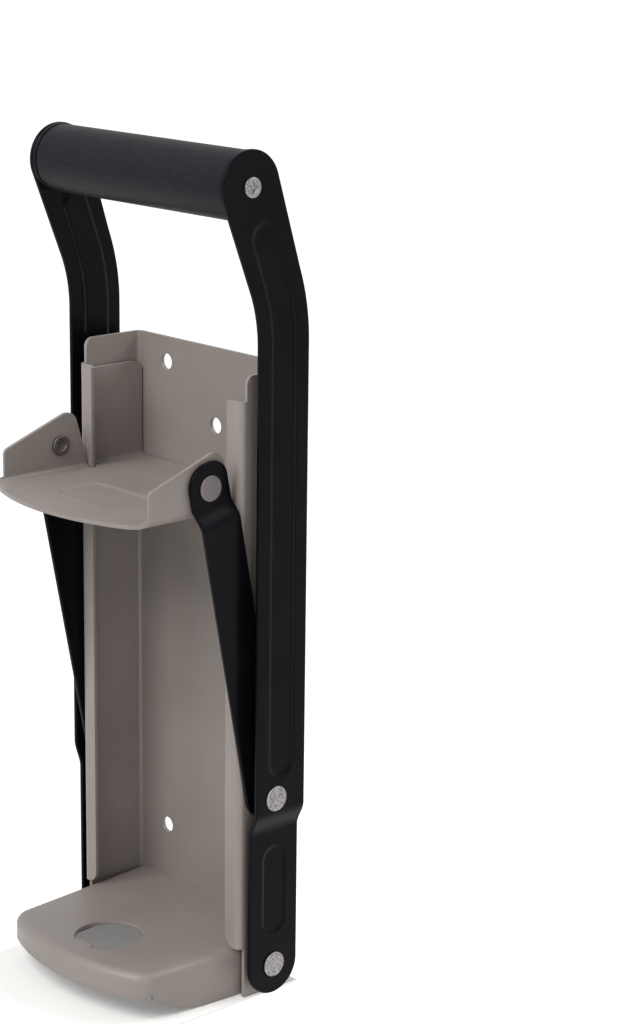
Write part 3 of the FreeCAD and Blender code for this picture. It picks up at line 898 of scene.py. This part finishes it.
def link_outline():
    """Upright: a round foot, straight sides and a head with two rounded corners.

    Both sides share their heights, so that the two halves of a face meet point for point on the spine.
    """
    top = LINK_LENGTH + LINK_HEAD_RISE
    foot = direction(np.linspace(-math.pi, 0, LINK_FOOT_STEPS))
    shared_z = np.linspace(0, LINK_LENGTH, LINK_SIDE_STEPS)[1:]
    rear_z = np.append(shared_z, top - LINK_REAR_CORNER)
    front_z = shared_z[::-1]
    rear_turn = direction(np.linspace(0, math.pi / 2, LINK_REAR_STEPS)[1:])
    front_turn = direction(np.linspace(math.pi / 2, math.pi, LINK_FRONT_STEPS))
    rear_centre = np.array([LINK_HALF - LINK_REAR_CORNER, top - LINK_REAR_CORNER])
    front_centre = np.array([LINK_FRONT_CORNER - LINK_HALF, top - LINK_FRONT_CORNER])
    outline = np.vstack([
        foot * LINK_HALF,
        np.column_stack([np.full_like(rear_z, LINK_HALF), rear_z]),
        rear_centre + rear_turn * LINK_REAR_CORNER,
        front_centre + front_turn * LINK_FRONT_CORNER,
        np.column_stack([np.full_like(front_z, -LINK_HALF), front_z]),
    ])
    normals = np.vstack([
        foot,
        np.tile([1.0, 0.0], (len(rear_z), 1)),
        rear_turn,
        front_turn,
        np.tile([-1.0, 0.0], (len(front_z), 1)),
    ])
    spine = np.column_stack([np.zeros(len(outline)), np.clip(outline[:, 1], 0, LINK_LENGTH)])
    return outline, spine, normals


def link_inner_face(point):
    """The step inwards under the head."""
    rise = smooth_step((point[:, 1] - LINK_STEP_LOW) / (LINK_STEP_HIGH - LINK_STEP_LOW))
    return LINK_INNER - LINK_STEP * rise


def link_pressed(point):
    """A link has no groove."""
    return np.zeros(len(point))


LINK_SHARES = np.linspace(0, 1, 9)
upright = strap_rings(*link_outline(), LINK_SHARES, link_inner_face, LINK_SHEET, link_pressed)
leaned = upright[:, :, 1:2] * LINK_REAR + upright[:, :, 2:3] * LINK_UP + LINK_PIN
link_rings = np.concatenate([upright[:, :, :1], leaned], axis=-1)
both_sides("link", link_rings, BLACK_ENAMEL, ("link_right", "link_left"))

# %% [markdown]
# ## Turned and moulded round parts
#
# Sleeve, caps, rivets and screws are all round about a line along X. A profile of (radius, x) points is
# carried once round that line: a point goes to (x, r cos t, r sin t). Rounded corners of the profile are
# short arcs, so the lathe is all that is needed.

# %% A lathe
TURN_STEPS = 72
ARC_STEPS = 6


def arc(centre_r, centre_x, radius, start, end):
    """Profile points of an arc. Its angle is measured from the radial direction towards plus X."""
    angles = np.radians(np.linspace(start, end, ARC_STEPS))
    return [(centre_r + radius * math.cos(a), centre_x + radius * math.sin(a)) for a in angles]


def lathe(profile, centre):
    """Rings of (x, r cos t, r sin t) about the line through centre along X."""
    profile = np.array(profile)
    turn = np.linspace(0, 2 * math.pi, TURN_STEPS, endpoint=False)
    x = np.repeat(profile[:, 1:], TURN_STEPS, axis=1)
    y = centre[0] + profile[:, :1] * np.cos(turn)
    z = centre[1] + profile[:, :1] * np.sin(turn)
    return np.stack([x, y, z], axis=-1)


print("a lathe of", TURN_STEPS, "steps")

# %% [markdown]
# ## The grip
#
# The sleeve is a plain tube with slightly softened ends between two caps. Each cap has a thin round flange
# against the arm, a hair wider than the sleeve, and a plug inside it.

# %% Sleeve and caps
SLEEVE_RADIUS = 13.0 * MM
SLEEVE_BORE = 10.0 * MM
SLEEVE_EDGE = 0.6 * MM
CAP_RADIUS = 13.4 * MM
CAP_BORE = 5.06 * MM
CAP_FLANGE = 1.5 * MM
CAP_EDGE = 0.5 * MM
SLEEVE_STEPS = 40


def sleeve_profile():
    """A closed loop: along the outside, over the far end, back through the bore and over the near end."""
    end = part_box("grip_sleeve")[1][0]
    length = np.linspace(-end + 2 * SLEEVE_EDGE, end - 2 * SLEEVE_EDGE, SLEEVE_STEPS)
    outside = [(SLEEVE_RADIUS, x) for x in length]
    far = arc(SLEEVE_RADIUS - SLEEVE_EDGE, end - SLEEVE_EDGE, SLEEVE_EDGE, 0, 90)
    near = arc(SLEEVE_RADIUS - SLEEVE_EDGE, SLEEVE_EDGE - end, SLEEVE_EDGE, -90, 0)
    return outside + far + [(SLEEVE_BORE, end), (SLEEVE_BORE, -end)] + near


def cap_profile():
    """A closed loop round the flange and the plug."""
    low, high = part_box("grip_cap_right")
    inner = high[0] - CAP_FLANGE
    rim = arc(CAP_RADIUS - CAP_EDGE, inner + CAP_EDGE, CAP_EDGE, -90, 0)
    back = arc(CAP_RADIUS - CAP_EDGE / 2, high[0] - CAP_EDGE / 2, CAP_EDGE / 2, 0, 90)
    plug = [(CAP_BORE, high[0]), (CAP_BORE, low[0]), (SLEEVE_BORE, low[0]), (SLEEVE_BORE, inner)]
    return rim + back + plug


sleeve_mesh = ring_mesh("sleeve", lathe(sleeve_profile(), GRIP), closed=True)
add_piece("soft_sleeve", sleeve_mesh, BLACK_PVC, "lever", "grip_sleeve")
cap_rings = lathe(cap_profile(), GRIP)
both_sides("grip_cap", cap_rings, MOULDED_PLASTIC, ("lever", "lever"), closed=True)

# %% [markdown]
# ## Rivets
#
# A rivet is a round bar with a flat, softly rounded head. Its far end is rolled over into a tail with a
# dimple, where the press pushed it out. The tail shows on the inside of the ears.

# %% Rivet heads and tails
HEAD_RADIUS = 5.0 * MM
HEAD_EDGE = 0.45 * MM
HEAD_HEIGHT = 0.9 * MM
HEAD_CROWN = 0.12 * MM
SHANK_RADIUS = 3.0 * MM
TAIL_RADIUS = 4.0 * MM
TAIL_HEIGHT = 1.1 * MM
TAIL_EDGE = 0.45 * MM
DIMPLE_RADIUS = 1.9 * MM
DIMPLE_DEPTH = 0.8 * MM
# The dimple's floor and wall, as shares of its radius and of its depth up from the floor.
DIMPLE_SHAPE = ((0.0, 0.0), (0.6, 0.0), (0.9, 0.5))
CROWN_STEPS = 12


def head_profile(top):
    """From the shank under the head, out over the rounded rim and up a faint crown to the middle."""
    seat = top - HEAD_HEIGHT
    rim = arc(HEAD_RADIUS - HEAD_EDGE, top - HEAD_CROWN - HEAD_EDGE, HEAD_EDGE, 0, 90)
    radii = np.linspace(HEAD_RADIUS - HEAD_EDGE, 0, CROWN_STEPS)[1:]
    crown = [(r, top - HEAD_CROWN * (r / HEAD_RADIUS) ** 2) for r in radii]
    return [(SHANK_RADIUS, seat), (HEAD_RADIUS, seat)] + rim + crown


def tail_profile(end):
    """From the middle of the dimple out over the rolled rim and back to the shank."""
    floor = end + DIMPLE_DEPTH
    dimple = [(r * DIMPLE_RADIUS, floor - up * DIMPLE_DEPTH) for r, up in DIMPLE_SHAPE]
    lip = arc(DIMPLE_RADIUS + TAIL_EDGE, end + TAIL_EDGE, TAIL_EDGE, 180, 270)
    rim = arc(TAIL_RADIUS - TAIL_EDGE, end + TAIL_EDGE, TAIL_EDGE, -90, 0)
    return dimple + lip + rim + [(TAIL_RADIUS, end + TAIL_HEIGHT), (SHANK_RADIUS, end + TAIL_HEIGHT)]


def plain_end(x):
    """The flat end of a shank, from its middle outwards."""
    return [(0.0, x), (SHANK_RADIUS, x)]


def rivet_rings(name):
    """The right-hand rivet from its lowest to its highest x. Hidden ends are cut flat."""
    low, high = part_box(name + "_right")
    centre = middle(name + "_right")[1:]
    if name == "ear_rivet":
        return lathe(tail_profile(low[0]) + plain_end(high[0])[::-1], centre)
    start = tail_profile(low[0]) if name == "pivot_rivet" else plain_end(low[0])
    return lathe(start + head_profile(high[0]), centre)


RIVET_BODIES = {
    "pivot_rivet": ("frame", "frame"),
    "link_rivet": ("lever", "lever"),
    "ear_rivet_head": ("link_right", "link_left"),
    "ear_rivet": ("slider", "slider"),
}
for name, bodies in RIVET_BODIES.items():
    both_sides(name, rivet_rings(name), ZINC_PLATE, bodies)

# %% [markdown]
# ## Screws with a cross recess
#
# The grip's screws have low pan heads. The head is a polar grid of radius r and angle t: flat within a
# rounded rim, less the cross. A point lies in the cross when it is near one of two bars, and smooth steps
# make the bars' walls.

# %% Grip screws
SCREW_RADIUS = 3.8 * MM
SCREW_HEIGHT = 1.1 * MM
SCREW_EDGE = 0.5 * MM
SCREW_SHANK = 2.5 * MM
CROSS_LENGTH = 2.5 * MM
CROSS_HALF = 0.6 * MM
CROSS_DEPTH = 0.8 * MM
CROSS_WALL = 0.25 * MM
FACE_STEPS = 34


def cross_depth(y, z):
    """How far the recess goes down at a point of the head."""
    bars = []
    for a, b in ((y, z), (z, y)):
        width = smooth_step((CROSS_HALF + CROSS_WALL / 2 - np.abs(b)) / CROSS_WALL)
        length = smooth_step((CROSS_LENGTH - np.abs(a)) / (2 * CROSS_WALL))
        bars.append(width * length)
    return CROSS_DEPTH * np.maximum(*bars)


def screw_rings():
    """A shank, the head's seat and rim, and a polar grid over the head with the cross pressed in."""
    low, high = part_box("grip_screw_right")
    top = high[0]
    seat = top - SCREW_HEIGHT
    rim = arc(SCREW_RADIUS - SCREW_EDGE, top - SCREW_EDGE, SCREW_EDGE, 0, 90)
    face = [(r, top) for r in np.linspace(SCREW_RADIUS - SCREW_EDGE, 0, FACE_STEPS)[1:]]
    shank = [(0.0, low[0]), (SCREW_SHANK, low[0]), (SCREW_SHANK, seat), (SCREW_RADIUS, seat)]
    profile = shank + rim + face
    rings = lathe(profile, GRIP)
    on_face = slice(len(profile) - len(face), len(profile))
    y = rings[on_face, :, 1] - GRIP[0]
    z = rings[on_face, :, 2] - GRIP[1]
    rings[on_face, :, 0] -= cross_depth(y, z)
    return rings


both_sides("grip_screw", screw_rings(), ZINC_PLATE, ("lever", "lever"))

# %% [markdown]
# ## Floor and pedestal
#
# The lever swings down below the crusher's base, so the crusher stands on a slim pale pedestal that the
# arms pass on both sides, and the pale floor lies lower than the grip ever reaches. The pedestal is a thin
# slab on a block and a stem. The paper of all of them is given a little light of its own in rays from the
# camera, from mirrors and through glass, which lifts it to white and keeps the crusher's shadow on the slab.

# %% Pale floor and pedestal
FLOOR_Z = -320.0 * MM
FLOOR_HALF = 15000.0 * MM
FLOOR_THICK = 10.0 * MM
SLAB_HALF = 49.5 * MM
SLAB_FRONT = -96.0 * MM
SLAB_BACK = -1.0 * MM
SLAB_TOP = -0.2 * MM
SLAB_BOTTOM = -1.0 * MM
BLOCK_BOTTOM = -5.0 * MM
STEM_HALF = 9.0 * MM
STEM_FRONT = -54.0 * MM
STEM_BACK = -36.0 * MM
PAPER_COLOUR = "#f6f5f3"
PAPER_FIBRE_MM = 2.0
PAPER_FIBRE_DEPTH_MM = 0.02
PAPER_ROUGHNESS = 0.9
PAPER_SPECULAR = 0.1
SLAB_LIFT = 0.16
FLOOR_LIFT = 0.68


def box_mesh(name, *spans):
    """A closed box with its lowest and highest x, y and z, and with faces that point outwards."""
    corners = np.array(np.meshgrid(*spans, indexing="ij")).reshape(3, -1).T
    faces = [(0, 1, 3, 2), (4, 6, 7, 5), (0, 4, 5, 1), (2, 3, 7, 6), (0, 2, 6, 4), (1, 5, 7, 3)]
    mesh = bpy.data.meshes.new(name)
    mesh.from_pydata(corners.tolist(), [], faces)
    return mesh


def seen_directly(tree):
    """1 for a ray from the camera, from a mirror or through glass, and 0 for any other."""
    path = add_node(tree, "ShaderNodeLightPath")
    glossy = add_node(
        tree,
        "ShaderNodeMath",
        {0: path.outputs["Is Camera Ray"], 1: path.outputs["Is Glossy Ray"]},
        operation="MAXIMUM",
    )
    seen = add_node(
        tree,
        "ShaderNodeMath",
        {0: glossy.outputs[0], 1: path.outputs["Is Transmission Ray"]},
        operation="MAXIMUM",
    )
    return seen.outputs[0]


def studio_paper(name, lift):
    """White card that adds a little light of its own where the camera, metal or glass looks at it."""
    material, tree, place = new_material(name)
    fibre = add_node(
        tree,
        "ShaderNodeTexNoise",
        {"Vector": place, "Scale": per_mm(PAPER_FIBRE_MM), "Detail": 2.0},
    )
    skin = add_node(
        tree,
        "ShaderNodeBump",
        {"Height": fibre.outputs["Fac"], "Distance": PAPER_FIBRE_DEPTH_MM * MM},
    )
    card = add_node(
        tree,
        "ShaderNodeBsdfPrincipled",
        {
            "Base Color": linear(PAPER_COLOUR),
            "Roughness": PAPER_ROUGHNESS,
            "Specular IOR Level": PAPER_SPECULAR,
            "Normal": skin.outputs["Normal"],
        },
    )
    seen = seen_directly(tree)
    strength = add_node(tree, "ShaderNodeMath", {0: seen, 1: lift}, operation="MULTIPLY")
    glow = add_node(tree, "ShaderNodeEmission", {"Color": WHITE, "Strength": strength.outputs[0]})
    both = add_node(tree, "ShaderNodeAddShader", {0: card.outputs["BSDF"], 1: glow.outputs["Emission"]})
    add_node(tree, "ShaderNodeOutputMaterial", {"Surface": both.outputs["Shader"]})
    return material


def make_stage():
    """Four boxes, each with its half width and its span along Y and Z."""
    slab_paper = studio_paper("white_card", SLAB_LIFT)
    floor_paper = studio_paper("white_paper_roll", FLOOR_LIFT)
    floor_z = (FLOOR_Z - FLOOR_THICK, FLOOR_Z)
    parts = [
        ("floor", floor_paper, FLOOR_HALF, (-FLOOR_HALF, FLOOR_HALF), floor_z),
        ("slab", slab_paper, SLAB_HALF, (SLAB_FRONT, SLAB_BACK), (SLAB_BOTTOM, SLAB_TOP)),
        ("block", floor_paper, SLAB_HALF, (SLAB_FRONT, SLAB_BACK), (BLOCK_BOTTOM, SLAB_BOTTOM)),
        ("stem", floor_paper, STEM_HALF, (STEM_FRONT, STEM_BACK), (FLOOR_Z, BLOCK_BOTTOM)),
    ]
    for name, paper, half, y, z in parts:
        obj = add_object(name, box_mesh(name, (-half, half), y, z))
        dress(obj, paper)
        print("stage:", name)


make_stage()

# %% [markdown]
# ## Soft studio light
#
# One large softbox stands above and in front. A small one behind draws the light along the top of the grip
# and over the bends of the links, and a tall narrow strip beside the camera is there for the walls of the
# grooves. With an even pale world they light a surface at about the level at which its colour is written.

# %% Lamps and world
WORLD_LIGHT = 0.42


def add_lamp(name, azimuth, elevation, distance, width, height, power):
    """A rectangular softbox that looks at the middle of the crusher, with its angles in degrees."""
    outwards = towards(math.radians(azimuth), math.radians(elevation))
    data = bpy.data.lights.new(name, "AREA")
    data.shape = "RECTANGLE"
    data.size = width
    data.size_y = height
    data.energy = power
    lamp = add_object(name, data)
    lamp.location = (cad_box[0] + cad_box[1]) / 2 + outwards * distance
    lamp.rotation_euler = outwards.to_track_quat("Z", "Y").to_euler()


def make_world():
    """White where it is seen directly or in a mirror, and a softer light everywhere else."""
    world = bpy.data.worlds.new("studio")
    world.use_nodes = True
    tree = world.node_tree
    tree.nodes.clear()
    seen = seen_directly(tree)
    strength = add_node(
        tree,
        "ShaderNodeMapRange",
        {"Value": seen, "To Min": WORLD_LIGHT, "To Max": 1.0},
    )
    background = add_node(
        tree,
        "ShaderNodeBackground",
        {"Color": WHITE, "Strength": strength.outputs["Result"]},
    )
    add_node(tree, "ShaderNodeOutputWorld", {"Surface": background.outputs["Background"]})
    bpy.context.scene.world = world


add_lamp("key", azimuth=0, elevation=46, distance=1.3, width=0.9, height=0.8, power=14)
add_lamp("rear", azimuth=142, elevation=40, distance=1.2, width=0.45, height=0.35, power=3.2)
add_lamp("strip", azimuth=66, elevation=-8, distance=1.25, width=0.14, height=0.7, power=1.8)
make_world()
bpy.context.scene.view_settings.view_transform = "Standard"
